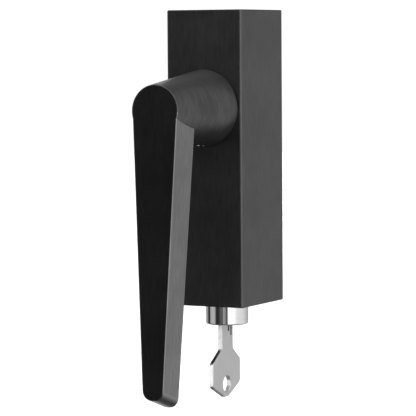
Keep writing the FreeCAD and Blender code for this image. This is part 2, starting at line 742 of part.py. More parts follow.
def make_mechanism_case():
    """Die-cast block that carries the disc, the bolt and the lock barrel."""
    solid = block("case_block", CASE_HALF, (CASE_FRONT, CASE_REAR), (CASE_BOTTOM, "case_top"))
    ahead, behind, below = f"{CASE_FRONT} - 1", f"{CASE_REAR} + 1", f"{CASE_BOTTOM} - 1"
    tools = [
        rod_y("disc_cavity", CAVITY_RADIUS, (CAVITY_FRONT, behind)),
        rod_y("spindle_way", SPINDLE_BORE, (ahead, behind)),
        rod_y("ring_space", f"{RING_OUTER} + 2 * bore_gap", (ahead, f"{HUB_END} + bore_gap")),
        block("bolt_channel", CHANNEL_HALF, (f"{LOCK_Y} - {CHANNEL_HALF}", behind), (CHANNEL_BOTTOM, "0")),
        rod_z("barrel_bore", f"{BARREL_RADIUS} + run_gap", (below, f"{BARREL_TOP} + small_gap"), y=LOCK_Y),
        rod_z("clip_space", f"{CLIP_RADIUS} + bore_gap", (BARREL_TOP, f"{CHANNEL_BOTTOM} + small_gap"),
              y=LOCK_Y),
        rod_z("dowel_hole", "dowel_radius", (below, f"{DOWEL_START} + dowel_length"), DOWEL_X, LOCK_Y),
    ]
    relief_y = (HUB_END, behind)
    relief_z = (f"{CASE_BOTTOM} + relief_rise", "-relief_top")
    pocket = (POCKET_END, f"{CAVITY_FRONT} + small_gap")
    thread = (f"{COVER_REAR} - cover_screw_length - small_gap", behind)
    for side, sign in SIDES:
        reach = f"{sign}{BALL_REACH}"
        tools.append(rod_y(f"spring_pocket_{side}", "ball_radius + small_gap", pocket, reach, reach))
        tools.append(rod_y(f"cover_thread_{side}", "cover_screw_radius", thread,
                           f"{sign}cover_screw_side", COVER_SCREW_Z))
    tools.append(box("relief_right", ("relief_inner", "relief_outer"), relief_y, relief_z))
    tools.append(box("relief_left", ("-relief_outer", "-relief_inner"), relief_y, relief_z))
    boss_end = f"{INNER_FRONT} + boss_tall + small_gap"
    for number, (x, z) in enumerate(SCREW_PLACES, start=1):
        tools.append(rod_y(f"case_screw_hole_{number}", "screw_radius + small_gap", (ahead, behind), x, z))
        tools.append(rod_y(f"boss_pocket_{number}", "screw_boss + small_gap", (ahead, boss_end), x, z))
    return cut("mechanism_case", solid, *tools)


def make_case_cover():
    """Rear plate with a boss behind the disc, a rib behind the bolt and the stop pin's slot."""
    plate = block("cover_plate", CASE_HALF, (CASE_REAR, COVER_REAR), (CASE_BOTTOM, "case_top"))
    boss_front = f"({DISC_REAR} + 2 * small_gap)"
    boss = rod_y("cover_boss", "(disc_radius + disc_gap - small_gap)", (boss_front, CASE_REAR))
    rib = block("cover_rib", "bolt_width / 2", (f"{LOCK_Y} + {CHANNEL_HALF}", CASE_REAR),
                (f"{CHANNEL_BOTTOM} + small_gap", "-disc_radius"))
    ahead, behind = f"{CASE_REAR} - 1", f"{COVER_REAR} + 1"
    tools = [make_stop_slot(boss_front),
             rod_y("cover_spindle_hole", SPINDLE_BORE, (f"{boss_front} - 1", behind))]
    sink = (f"{COVER_REAR} - screw_head + screw_radius", COVER_REAR)
    radii = ("screw_radius + small_gap", "screw_head + small_gap")
    for number, (x, z) in enumerate(SCREW_PLACES, start=1):
        tools.append(rod_y(f"cover_screw_hole_{number}", radii[0], (ahead, behind), x, z))
        tools.append(cone_y(f"cover_countersink_{number}", radii, sink, x, z))
    for side, sign in SIDES:
        tools.append(rod_y(f"small_screw_hole_{side}", "cover_screw_radius + small_gap", (ahead, behind),
                           f"{sign}cover_screw_side", COVER_SCREW_Z))
    return cut("case_cover", fuse("cover_solid", plate, boss, rib), *tools)


def make_stop_slot(boss_front):
    """Half-round slot for the stop pin, with a round end at each end of the half turn."""
    depth = (f"{boss_front} - 1", f"{DISC_REAR} + pin_reach + small_gap")
    half = "(pin_radius + small_gap)"
    sweep = rod_y("slot_outer", f"pin_circle + {half}", depth)
    sweep.Placement.Rotation = TURNS["Y"].multiply(FreeCAD.Rotation(V(0, 0, 1), 180))
    sweep.Angle = 180
    core = rod_y("slot_inner", f"pin_circle - {half}", (f"{depth[0]} - 1", f"{depth[1]} + 1"))
    ends = [rod_y(f"slot_end_{side}", half, depth, f"{sign}pin_circle") for side, sign in SIDES]
    return fuse("stop_slot", cut("slot_arc", sweep, core), *ends)


def make_case_screws():
    """Four countersunk screws from the cover into the housing's bosses."""
    screws = []
    tip = f"{INNER_FRONT} + screw_radius"
    sink = (f"{COVER_REAR} - screw_head + screw_radius", COVER_REAR)
    for number, (x, z) in enumerate(SCREW_PLACES, start=1):
        shank = rod_y(f"case_screw_shank_{number}", "screw_radius", (tip, COVER_REAR), x, z)
        head = cone_y(f"case_screw_head_{number}", ("screw_radius", "screw_head"), sink, x, z)
        socket = hex_socket(f"case_screw_socket_{number}", "screw_radius * 0.75", "screw_radius + small_gap",
                            "Y", (x, f"{COVER_REAR} - screw_radius", z))
        solid = fuse(f"case_screw_solid_{number}", shank, head)
        screws.append(cut(f"case_screw_{number}", solid, socket))
    return group("case_screws", *screws)


def make_cover_screws():
    """Two small pan-head screws that close the cover on the case."""
    screws = []
    radius = "cover_screw_radius"
    for side, sign in SIDES:
        x, z = f"{sign}cover_screw_side", COVER_SCREW_Z
        shank = rod_y(f"cover_screw_shank_{side}", radius,
                      (f"{COVER_REAR} - cover_screw_length", COVER_REAR), x, z)
        head = rod_y(f"cover_screw_head_{side}", f"2 * {radius}",
                     (COVER_REAR, f"{COVER_REAR} + {radius}"), x, z)
        socket = hex_socket(f"cover_screw_socket_{side}", f"{radius} * 0.8", radius, "Y",
                            (x, f"{COVER_REAR} + small_gap", z))
        screws.append(cut(f"cover_screw_{side}", fuse(f"cover_screw_solid_{side}", shank, head), socket))
    return group("cover_screws", *screws)


# ---------------------------------------------------------------- lock

def make_lock_barrel():
    """Chromed barrel with a collar that the case clamps against the housing's bottom wall."""
    tube = rod_z("barrel_tube", BARREL_RADIUS, (BARREL_BOTTOM, BARREL_TOP), y=LOCK_Y)
    collar = rod_z("barrel_collar", COLLAR_RADIUS, (INNER_BOTTOM, COLLAR_TOP), y=LOCK_Y)
    mouth_top = f"{PLUG_BOTTOM} + plug_lip_thick + run_gap"
    track = f"({CLIP_RADIUS})"
    tools = [
        rod_z("barrel_plug_bore", "plug_radius + run_gap", (f"{BARREL_BOTTOM} - 1", f"{BARREL_TOP} + 1"),
              y=LOCK_Y),
        rod_z("barrel_mouth", "plug_radius + plug_lip + run_gap", (f"{BARREL_BOTTOM} - 1", mouth_top),
              y=LOCK_Y),
        block("wafer_tracks", "(wafer_half + small_gap)", (f"{LOCK_Y} - {track}", f"{LOCK_Y} + {track}"),
              (f"{BARREL_BOTTOM} + wafer_first - wafer_pitch / 2", f"{BARREL_TOP} - clip_thick")),
        rod_z("collar_dowel_hole", "dowel_radius", (f"{INNER_BOTTOM} - 1", f"{COLLAR_TOP} + 1"),
              DOWEL_X, LOCK_Y),
    ]
    return cut("lock_barrel", fuse("barrel_solid", tube, collar), *tools)


def make_barrel_dowel():
    """Pin through the collar into the case that stops the barrel turning."""
    return rod_z("barrel_dowel", "dowel_radius", (DOWEL_START, f"{DOWEL_START} + dowel_length"),
                 DOWEL_X, LOCK_Y)


def make_lock_plug():
    """Turning core with the keyway, the wafer slots and the tail that drives the bolt."""
    core = rod_z("plug_core", "plug_radius", (PLUG_BOTTOM, PLUG_TOP), y=LOCK_Y)
    face = rod_z("plug_face", "plug_radius + plug_lip", (PLUG_BOTTOM, f"{PLUG_BOTTOM} + plug_lip_thick"),
                 y=LOCK_Y)
    tail = rod_z("plug_tail", "tail_radius", (PLUG_TOP, TAIL_TOP), y=LOCK_Y)
    clip = (f"{CLIP_BOTTOM} - run_gap", f"{CLIP_BOTTOM} + clip_thick + run_gap")
    groove = cut("clip_groove", rod_z("clip_groove_outer", "plug_radius + 1", clip, y=LOCK_Y),
                 rod_z("clip_groove_core", CLIP_GROOVE, (f"{clip[0]} - 1", f"{clip[1]} + 1"), y=LOCK_Y))
    pin = primitive("Cylinder", "tail_pin_hole", ("-tail_radius - 1", LOCK_Y, CAM_PIN_Z), "X",
                    Radius="cam_pin_radius", Height="2 * tail_radius + 2")
    return cut("lock_plug", fuse("plug_solid", core, face, tail), groove, pin, make_keyway(), *wafer_slots())


def make_keyway():
    """Slot for the blade, with ribs left standing where the blade is grooved."""
    half = "(key_thick / 2 + small_gap)"
    z = (f"{PLUG_BOTTOM} - 1", f"{KEY_TIP} + 2 * bore_gap")
    past = (f"{z[0]} - 1", f"{z[1]} + 1")
    slot = block("keyway_slot", half, (f"{BLADE_FRONT} - small_gap", f"{BLADE_REAR} + small_gap"), z)
    rib_x = ("key_thick / 2 - groove_depth + small_gap", f"{half} + 1")
    rib = box("keyway_rib", rib_x, (f"{GROOVE_Y[0]} + small_gap", f"{GROOVE_Y[1]} - small_gap"), past)
    edge = box("keyway_edge_rib", rib_x, (f"{REBATE_Y[0]} + small_gap", f"{REBATE_Y[1]} + 1"), past)
    return cut("keyway", slot, rib, edge)


def wafer_heights():
    """The middle height of each wafer, from the mouth of the plug inwards."""
    return [f"({BARREL_BOTTOM} + wafer_first + {step} * wafer_pitch)"
            for step in range(round(cell("wafer_count")))]


def wafer_slots():
    """For each wafer its slot, the space for its lug and the bore of its spring."""
    tools = []
    across = (f"{LOCK_Y} - plug_radius - 1", f"{LOCK_Y} + plug_radius + 1")
    lug_x = ("wafer_half", "wafer_half + wafer_lug + small_gap")
    lug_y = (f"{LOCK_Y} - lug_half - small_gap", f"{LOCK_Y} + lug_half + lug_travel")
    spring_y = (f"{LOCK_Y} - lug_half - wafer_spring_length - small_gap", LOCK_Y)
    for number, height in enumerate(wafer_heights(), start=1):
        z = (f"{height} - wafer_thick / 2 - run_gap", f"{height} + wafer_thick / 2 + run_gap")
        tools.append(block(f"wafer_slot_{number}", "(wafer_half + run_gap)", across, z))
        tools.append(box(f"lug_space_{number}", lug_x, lug_y, z))
        tools.append(rod_y(f"spring_bore_{number}", "wafer_spring + small_gap", spring_y, SPRING_X, height))
    return tools


def make_wafers():
    """Spring-loaded plates in the plug; the key's blade passes through their windows."""
    wafers = []
    reach = "(plug_radius - wafer_rim)"
    plate_y = (f"{LOCK_Y} - {reach}", f"{LOCK_Y} + {reach}")
    lug_y = (f"{LOCK_Y} - lug_half", f"{LOCK_Y} + lug_half")
    window_y = (f"{BLADE_FRONT} - small_gap", f"{BLADE_REAR} + small_gap")
    for number, height in enumerate(wafer_heights(), start=1):
        z = (f"{height} - wafer_thick / 2", f"{height} + wafer_thick / 2")
        plate = block(f"wafer_plate_{number}", "wafer_half", plate_y, z)
        lug = box(f"wafer_lug_{number}", ("0", "wafer_half + wafer_lug"), lug_y, z)
        window = block(f"wafer_window_{number}", "(key_thick / 2 + small_gap)", window_y,
                       (f"{z[0]} - 1", f"{z[1]} + 1"))
        wafers.append(cut(f"wafer_{number}", fuse(f"wafer_solid_{number}", plate, lug), window))
    return group("wafers", *wafers)


def make_wafer_springs():
    """One small coil spring under each wafer's lug."""
    wire = cell("wafer_spring") / 4
    start = -cell("lock_axis_depth") - cell("lug_half") - cell("wafer_spring_length")
    side = cell("wafer_half") + cell("wafer_lug") / 2 + cell("run_gap")
    mouth = cell("axis_below_top") - cell("housing_height") - cell("barrel_stand")
    springs = []
    for step in range(round(cell("wafer_count"))):
        spring = coil(cell("wafer_spring") - wire, wire, cell("wafer_spring_length"), 5)
        height = mouth + cell("wafer_first") + step * cell("wafer_pitch")
        spring.Placement = FreeCAD.Placement(V(side, start, height), TURNS["Y"])
        springs.append(spring)
    return computed("wafer_springs", Part.makeCompound(springs))


def make_plug_clip():
    """Spring clip behind the barrel that keeps the plug in."""
    z = (CLIP_BOTTOM, f"{CLIP_BOTTOM} + clip_thick")
    past = (f"{z[0]} - 1", f"{z[1]} + 1")
    disc = rod_z("clip_disc", CLIP_RADIUS, z, y=LOCK_Y)
    bore = rod_z("clip_bore", f"{CLIP_GROOVE} + run_gap", past, y=LOCK_Y)
    mouth = block("clip_mouth", f"{CLIP_GROOVE} * 0.8", (LOCK_Y, f"{LOCK_Y} + 2 * {CLIP_RADIUS}"), past)
    return cut("plug_clip", disc, bore, mouth)


def make_cam_pin():
    """Cross pin through the plug's tail; its ends run in the bolt's slot."""
    half = "(bolt_width / 2 - 2 * small_gap)"
    return primitive("Cylinder", "cam_pin", (f"-{half}", LOCK_Y, CAM_PIN_Z), "X",
                     Radius="cam_pin_radius", Height=f"2 * {half}")


def make_lock_bolt():
    """Square bolt on the plug's tail, with a blade that rises into the disc's notch."""
    half, thin = "bolt_width / 2", "blade_thick / 2"
    bar = block("bolt_bar", half, (f"{LOCK_Y} - {half}", f"{LOCK_Y} + {half}"),
                (BOLT_BOTTOM, "-bolt_shoulder"))
    blade = block("bolt_blade", "blade_width / 2", (f"{LOCK_Y} - {thin}", f"{LOCK_Y} + {thin}"),
                  ("-bolt_shoulder", "-disc_radius - bore_gap"))
    bore = rod_z("bolt_bore", "tail_radius + run_gap", (f"{BOLT_BOTTOM} - 1", f"{TAIL_TOP} + bolt_gap"),
                 y=LOCK_Y)
    return cut("lock_bolt", fuse("bolt_solid", bar, blade), bore, computed("cam_slot", falling_slot()))


def falling_slot():
    """The path of the cross pin in the bolt: it falls as the plug turns, so the bolt rises."""
    steps = 12
    bolt_bottom = (cell("axis_below_top") - cell("housing_height") - cell("barrel_stand")
                   + cell("barrel_length") + cell("plug_rise") + cell("bolt_gap"))
    start = V(0, -cell("lock_axis_depth"), bolt_bottom + cell("cam_pin_rise"))
    radius = cell("cam_pin_radius") + cell("cam_gap")
    passes = []
    for step in range(steps + 1):
        angle = math.radians(90 * step / steps)
        centre = start - V(0, 0, cell("bolt_lift") * step / steps)
        along = V(math.cos(angle), math.sin(angle), 0)
        end = centre - along * cell("bolt_width")
        passes.append(Part.makeCylinder(radius, 2 * cell("bolt_width"), end, along))
    return passes[0].multiFuse(passes[1:])


# ---------------------------------------------------------------- key

def make_key():
    """Flat key: a cut and grooved blade, a plain shank and a six-sided bow with a ring hole."""
    key = body("key")
    half = [("key_blade / 6", KEY_TIP, BLADE_Y), ("key_blade / 2", f"{KEY_TIP} - key_blade / 3", BLADE_Y),
            ("key_blade / 2", KEY_STEP, BLADE_Y), ("key_shank / 2", KEY_STEP, BLADE_Y),
            ("key_shank / 2", BOW_START, BLADE_Y), ("bow_width / 2", BOW_TOP, BOW_Y),
            ("bow_width / 2", BOW_LOW, BOW_Y), ("bow_tip_width / 2", BOW_BOTTOM, BOW_Y)]
    rear = [(f"{middle} + {out}", up) for out, up, middle in half]
    front = [(f"{middle} - {out}", up) for out, up, middle in reversed(half)]
    ring_hole = (BOW_Y, f"{BOW_BOTTOM} + key_hole_edge", "key_hole")
    outline = sketch(key, "key_outline", "side", [rear + front], [ring_hole])
    feature(key, "Pad", "key_plate", outline, "key_thick", both=True)
    cuts = sketch(key, "key_cut_places", "side", key_cuts())
    feature(key, "Pocket", "key_cuts", cuts, both=True)
    beyond = f"{KEY_TIP} + 1"
    grooves = sketch(key, "groove_places", "side", offset="key_thick / 2 - groove_depth", outlines=[
        rectangle(GROOVE_Y, (f"{BARREL_BOTTOM} - groove_run", beyond)),
        rectangle((REBATE_Y[0], f"{REBATE_Y[1]} + 1"), (KEY_STEP, beyond)),
        rectangle(REBATE_Y, (f"{BARREL_BOTTOM} - rebate_run", KEY_STEP))])
    feature(key, "Pocket", "grooves", grooves, "key_thick", reverse=True)
    mouth = cell("axis_below_top") - cell("housing_height") - cell("barrel_stand")
    neck = mouth - cell("shank_length")
    end = neck - cell("bow_slope") - cell("bow_straight") - cell("bow_point")
    dress(key, "Fillet", "bow_corners", "bow_round",
          lambda edge: runs_along(edge, V(1, 0, 0)) and end + 0.5 < edge.BoundBox.Center.z < neck - 0.1)
    face = cell("key_thick") / 2
    dress(key, "Chamfer", "bow_bevel", "key_edge",
          lambda edge: abs(abs(edge.BoundBox.Center.x) - face) < 1e-4 and edge.BoundBox.XLength < 1e-4
          and edge.BoundBox.ZMax < neck + 0.5)
    return key


def key_cuts():
    """Cuts in the blade's rear edge, one for each wafer, with sloping sides."""
    depths = (0.6, 1.1, 0.8, 1.2, 0.7)
    edge = f"{BLADE_REAR} + 1"
    cuts = []
    for number, height in enumerate(wafer_heights()):
        floor = f"{BLADE_REAR} - {depths[number % len(depths)]}"
        cuts.append([(edge, f"{height} - cut_width * 2 / 3"), (floor, f"{height} - cut_width / 6"),
                     (floor, f"{height} + cut_width / 6"), (edge, f"{height} + cut_width * 2 / 3")])
    return cuts


# ---------------------------------------------------------------- build and write

SUB_PARTS = {
    "housing": make_housing,
    "base_plate": make_base_plate,
    "spindle_guide": make_spindle_guide,
    "housing_set_screws": make_housing_set_screws,
    "lever_handle": make_lever_handle,
    "spindle": make_spindle,
    "handle_grub_screw": make_handle_grub_screw,
    "hub_retaining_ring": make_hub_ring,
    "thrust_washer": make_thrust_washer,
    "front_bush": make_front_bush,
    "index_disc": make_index_disc,
    "stop_pin": make_stop_pin,
    "detent_balls": make_detent_balls,
    "detent_springs": make_detent_springs,
    "mechanism_case": make_mechanism_case,
    "case_cover": make_case_cover,
    "case_screws": make_case_screws,
    "cover_screws": make_cover_screws,
    "lock_barrel": make_lock_barrel,
    "barrel_dowel": make_barrel_dowel,
    "lock_plug": make_lock_plug,
    "wafers": make_wafers,
    "wafer_springs": make_wafer_springs,
    "plug_clip": make_plug_clip,
    "cam_pin": make_cam_pin,
    "lock_bolt": make_lock_bolt,
    "key": make_key,
}


def check(made):
    """Stop if any object failed or any sub-part is empty or broken."""
    failed = [obj.Name for obj in doc.Objects if {"Invalid", "Error"} & set(obj.State)]
    if failed:
        raise RuntimeError(f"objects that failed: {failed}")
    for label, obj in made.items():
        if obj.Shape.isNull() or not obj.Shape.isValid() or not obj.Shape.Solids:
            raise RuntimeError(f"{label} has no valid solid")


def main():
    """Make every sub-part, check the document and write one STEP file for each."""
    made = {label: make() for label, make in SUB_PARTS.items()}
    for label, obj in made.items():
        obj.Label = label
    doc.recompute()
    check(made)
    os.makedirs("parts", exist_ok=True)
    for label, obj in made.items():
        obj.Shape.exportStep(f"parts/{label}.step")


main()
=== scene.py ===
"""Lockable window handle: the visible surfaces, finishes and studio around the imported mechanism."""

from __future__ import annotations

import json
import logging
import math
from dataclasses import dataclass, field
from enum import Enum, IntEnum
from typing import Any, Callable, Iterable, Sequence

import bpy
from mathutils import Matrix, Vector

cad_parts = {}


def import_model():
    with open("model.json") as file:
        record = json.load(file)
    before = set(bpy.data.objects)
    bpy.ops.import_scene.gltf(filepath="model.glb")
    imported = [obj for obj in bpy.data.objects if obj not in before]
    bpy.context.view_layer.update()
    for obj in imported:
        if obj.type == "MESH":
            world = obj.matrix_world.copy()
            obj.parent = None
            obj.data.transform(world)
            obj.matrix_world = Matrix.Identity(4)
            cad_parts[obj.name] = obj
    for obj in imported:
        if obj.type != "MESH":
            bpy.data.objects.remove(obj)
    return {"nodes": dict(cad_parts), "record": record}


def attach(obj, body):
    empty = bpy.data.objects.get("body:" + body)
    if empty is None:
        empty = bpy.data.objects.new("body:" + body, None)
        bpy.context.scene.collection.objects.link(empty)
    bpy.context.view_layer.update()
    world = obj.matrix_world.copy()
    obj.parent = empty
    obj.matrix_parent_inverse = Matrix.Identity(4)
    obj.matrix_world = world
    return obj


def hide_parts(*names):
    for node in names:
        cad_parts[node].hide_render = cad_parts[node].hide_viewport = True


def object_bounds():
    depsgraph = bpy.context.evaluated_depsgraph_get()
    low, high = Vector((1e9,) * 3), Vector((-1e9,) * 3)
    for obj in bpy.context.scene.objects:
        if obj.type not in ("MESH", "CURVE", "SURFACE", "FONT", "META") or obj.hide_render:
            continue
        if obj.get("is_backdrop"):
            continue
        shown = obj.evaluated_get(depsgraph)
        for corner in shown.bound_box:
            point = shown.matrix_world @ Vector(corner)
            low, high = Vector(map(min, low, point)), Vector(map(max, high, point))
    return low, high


LOG = logging.getLogger("window_handle")
MM = 0.001
LOCK_AXIS_DEPTH = 17.7 * MM
NOISE_MIDDLE = 0.5
AXIS_GUARD = 1e-5  # keeps a division by the radius finite on the axis itself
MIX_FACTOR, MIX_FIRST, MIX_SECOND, MIX_RESULT = 0, 6, 7, 2  # the Mix node's colour sockets

Colour = tuple[float, float, float]
Range = tuple[float, float]


# ---------------------------------------------------------------- shader maths

class Signal:
    """A shader socket that Python expressions can work on."""

    def __init__(self, bench: "Bench", socket: bpy.types.NodeSocket) -> None:
        """Wraps one output socket of a bench's node."""
        self.bench = bench
        self.socket = socket

    def _maths(self, operation: str, first: Any, second: Any) -> "Signal":
        """Adds one Math node.

        Args:
            operation: the Math node's operation.
            first: its first value or signal.
            second: its second value or signal.

        Returns:
            The node's result.
        """
        return self.bench.node("ShaderNodeMath", {"operation": operation}, [first, second])

    def __add__(self, other: Any) -> "Signal":
        """self + other."""
        return self._maths("ADD", self, other)

    def __sub__(self, other: Any) -> "Signal":
        """self - other."""
        return self._maths("SUBTRACT", self, other)

    def __mul__(self, other: Any) -> "Signal":
        """self * other."""
        return self._maths("MULTIPLY", self, other)

    def __truediv__(self, other: Any) -> "Signal":
        """self / other."""
        return self._maths("DIVIDE", self, other)

    def root(self) -> "Signal":
        """The square root."""
        return self._maths("SQRT", self, 0.0)

    def between(self, low: float, high: float) -> "Signal":
        """A smooth step.

        Args:
            low: the value that gives 0.
            high: the value that gives 1.

        Returns:
            The signal eased from 0 to 1 between the two.
        """
        settings = {"interpolation_type": "SMOOTHSTEP"}
        return self.bench.node("ShaderNodeMapRange", settings,
                               {"Value": self, "From Min": low, "From Max": high})


class Bench:
    """Adds nodes to one node tree and links what it is given."""

    def __init__(self, tree: bpy.types.NodeTree) -> None:
        """Starts on an emptied node tree."""
        tree.nodes.clear()
        self.tree = tree

    def raw(self, kind: str, settings: dict[str, Any], inputs: Any = None) -> bpy.types.Node:
        """Adds one node.

        Args:
            kind: the node's type.
            settings: its own settings, set before its sockets; "stops" fills a colour ramp.
            inputs: values or signals, in order as a list or by name as a dictionary.

        Returns:
            The node.
        """
        node = self.tree.nodes.new(kind)
        for name, value in settings.items():
            if name == "stops":
                self._fill_ramp(node.color_ramp, value)
            else:
                setattr(node, name, value)
        pairs = inputs.items() if isinstance(inputs, dict) else enumerate(inputs or [])
        for key, value in pairs:
            if isinstance(value, Signal):
                self.tree.links.new(value.socket, node.inputs[key])
            elif value is not None:
                node.inputs[key].default_value = value
        return node

    def node(self, kind: str, settings: dict[str, Any], inputs: Any = None,
             output: int | str = 0) -> Signal:
        """Adds one node and takes one of its outputs.

        Args:
            kind: the node's type.
            settings: its own settings.
            inputs: values or signals for its sockets.
            output: which output to take.

        Returns:
            That output as a signal.
        """
        return Signal(self, self.raw(kind, settings, inputs).outputs[output])

    @staticmethod
    def _fill_ramp(ramp: bpy.types.ColorRamp, stops: Sequence[tuple[float, Colour]]) -> None:
        """Puts the stops into a colour ramp.

        Args:
            ramp: the ramp, which starts with two stops.
            stops: the place of each stop, from 0 to 1, and its colour.
        """
        while len(ramp.elements) < len(stops):
            ramp.elements.new(0.5)
        for element, (place, colour) in zip(ramp.elements, sorted(stops)):
            element.position = place
            element.color = (*colour, 1.0)

    def coordinates(self) -> Signal:
        """The piece's own coordinates, in metres from the origin of the frame."""
        return self.node("ShaderNodeTexCoord", {}, output="Object")

    def split(self, vector: Signal) -> list[Signal]:
        """The three parts of a vector."""
        node = self.raw("ShaderNodeSeparateXYZ", {}, [vector])
        return [Signal(self, output) for output in node.outputs]

    def join(self, parts: Sequence[Any]) -> Signal:
        """A vector from three values or signals."""
        return self.node("ShaderNodeCombineXYZ", {}, list(parts))

    def stretch(self, vector: Signal, factors: Sequence[float]) -> Signal:
        """A vector times three factors."""
        return self.node("ShaderNodeVectorMath", {"operation": "MULTIPLY"},
                         [vector, tuple(factors)])

    def noise(self, vector: Signal, scale: float = 1.0, detail: float = 2.0) -> Signal:
        """Smooth noise, from 0 to 1, middle 0.5."""
        return self.node("ShaderNodeTexNoise", {},
                         {"Vector": vector, "Scale": scale, "Detail": detail})

    def blend(self, factor: Any, first: Any, second: Any) -> Signal:
        """A colour between two colours.

        Args:
            factor: 0 gives the first and 1 the second.
            first: a colour or a signal.
            second: a colour or a signal.

        Returns:
            The mixed colour.
        """
        four = [(*c, 1.0) if isinstance(c, tuple) and len(c) == 3 else c for c in (first, second)]
        mix = self.raw("ShaderNodeMix", {"data_type": "RGBA"})
        for number, value in zip((MIX_FACTOR, MIX_FIRST, MIX_SECOND), (factor, *four)):
            if isinstance(value, Signal):
                self.tree.links.new(value.socket, mix.inputs[number])
            else:
                mix.inputs[number].default_value = value
        return Signal(self, mix.outputs[MIX_RESULT])


# ---------------------------------------------------------------- finishes

class Grain(Enum):
    """The direction in which a surface was worked."""

    UPRIGHT = "brushed along Z"
    TURNED_Y = "turned about the handle's axis"
    TURNED_Z = "turned about the lock's axis"
    CAST = "as cast or moulded"


@dataclass(frozen=True)
class Finish:
    """A worked metal or plastic surface: its colour, its gloss and the marks of its making."""

    name: str
    colour: Colour
    light: Colour
    roughness: float
    metallic: float = 1.0
    grain: Grain = Grain.CAST
    mark_pitch: float = 0.35 * MM
    mark_length: float = 30 * MM
    mark_depth: float = 6e-6
    mark_gloss: float = 0.10
    cloud: float = 0.06
    speck: float = 0.0
    broad: float = 0.38
    broad_scale: float = 5.3
    arcs: float = 1.5
    tone_range: Range = (0.28, 0.72)
    cloud_scale: float = 55.0
    cloud_tone: float = 0.6
    pit_scale: float = 2200.0
    pit_range: Range = (0.66, 0.74)
    pit_shade: float = 0.55
    pit_rough: float = 0.12
    bump_strength: float = 0.5

    def _marks_place(self, bench: Bench, pitch: float) -> Signal:
        """Coordinates that run fast across the tool marks and slowly along them.

        Args:
            bench: the material's bench.
            pitch: how far apart the marks lie.

        Returns:
            The place at which the marks' noise is read.
        """
        place = bench.coordinates()
        across, along = 1.0 / pitch, 1.0 / self.mark_length
        if self.grain is Grain.UPRIGHT:
            return bench.stretch(place, (across, across, along))
        if self.grain is Grain.CAST:
            return bench.stretch(place, (across, across, across))
        x, y, z = bench.split(place)
        if self.grain is Grain.TURNED_Y:
            radius = (x * x + z * z).root() + AXIS_GUARD
            return bench.join((x / radius * self.arcs, y * across, z / radius * self.arcs))
        off = y + LOCK_AXIS_DEPTH
        radius = (x * x + off * off).root() + AXIS_GUARD
        ring = bench.join((x / radius * self.arcs, off / radius * self.arcs, z * across))
        face = bench.stretch(bench.join((0.0, 0.0, radius)), (0.0, 0.0, across))
        return bench.node("ShaderNodeVectorMath", {"operation": "ADD"}, [ring, face])

    def material(self) -> bpy.types.Material:
        """The finish as a node material.

        Returns:
            A new material with worked colour, roughness and bump.
        """
        material = bpy.data.materials.new(self.name)
        material.use_nodes = True
        bench = Bench(material.node_tree)
        fine = bench.noise(self._marks_place(bench, self.mark_pitch), detail=3.0)
        coarse = self._marks_place(bench, self.mark_pitch * self.broad_scale)
        broad = bench.noise(coarse, detail=2.0)
        cloud = bench.noise(bench.coordinates(), scale=self.cloud_scale, detail=3.0) - NOISE_MIDDLE
        marks = fine * (1.0 - self.broad) + broad * self.broad
        tone = (marks + cloud * self.cloud_tone).between(*self.tone_range)
        colour = bench.blend(tone, self.colour, self.light)
        rough = (marks - NOISE_MIDDLE) * self.mark_gloss + cloud * self.cloud + self.roughness
        if self.speck:
            specks = bench.noise(bench.coordinates(), scale=self.pit_scale, detail=1.0)
            pits = specks.between(*self.pit_range)
            shaded = tuple(self.pit_shade * part for part in self.colour)
            colour = bench.blend(pits * self.speck, colour, shaded)
            rough = rough + pits * self.pit_rough
        bump = bench.node("ShaderNodeBump", {}, {
            "Strength": self.bump_strength, "Distance": self.mark_depth, "Height": marks})
        shader = bench.node("ShaderNodeBsdfPrincipled", {}, {
            "Base Color": colour, "Metallic": self.metallic, "Roughness": rough, "Normal": bump})
        bench.raw("ShaderNodeOutputMaterial", {}, {"Surface": shader})
        return material


BLACK_BOX = Finish("black_brushed_box", (0.092, 0.092, 0.094), (0.122, 0.122, 0.124), 0.36,
                   metallic=0.97, grain=Grain.UPRIGHT, mark_pitch=0.34 * MM, mark_length=7 * MM,
                   broad=0.25)
BLACK_LEVER = Finish("black_brushed_lever", (0.208, 0.208, 0.211), (0.262, 0.262, 0.265), 0.17,
                     grain=Grain.UPRIGHT, mark_pitch=0.34 * MM, mark_length=7 * MM, broad=0.25)
BLACK_NECK = Finish("black_turned_neck", (0.048, 0.048, 0.050), (0.084, 0.084, 0.086), 0.36,
                    metallic=0.72, grain=Grain.TURNED_Y, mark_pitch=0.40 * MM, mark_depth=1.6e-5,
                    arcs=2.6)
CHROME = Finish("satin_chrome", (0.78, 0.78, 0.785), (0.85, 0.85, 0.855), 0.07,
                grain=Grain.TURNED_Z, mark_pitch=0.22 * MM, mark_depth=1e-6, mark_gloss=0.04,
                cloud=0.03)
NICKEL = Finish("key_nickel_face", (0.54, 0.54, 0.54), (0.60, 0.60, 0.60), 0.38,
                metallic=0.78, grain=Grain.UPRIGHT, mark_pitch=0.16 * MM, mark_length=5 * MM,
                mark_depth=2e-6, cloud=0.03, speck=0.05)
# the upright milled edges: a matte milled finish whose base colour is raised towards white as a
# painted highlight
KEY_EDGE_PAINTED_HIGHLIGHT = Finish("key_milled_edge_painted_highlight", (0.70, 0.70, 0.70), (0.94, 0.94, 0.94), 0.55, metallic=0.25,
                     mark_pitch=0.3 * MM, mark_depth=8e-6, speck=0.2)
NICKEL_SLOPE = Finish("key_sheared_edge", (0.50, 0.50, 0.50), (0.58, 0.58, 0.58), 0.20,
                      grain=Grain.UPRIGHT, mark_pitch=0.2 * MM, mark_length=3 * MM, mark_depth=2e-6)
# painted shade: the dark colour of the milled grooves stands in for the shade and dark reflection
# inside them
KEY_GROOVE_PAINTED_SHADE = Finish("key_milled_groove_painted_shade", (0.14, 0.14, 0.14), (0.22, 0.22, 0.22), 0.45,
                       grain=Grain.UPRIGHT, mark_pitch=0.2 * MM, mark_length=3 * MM)
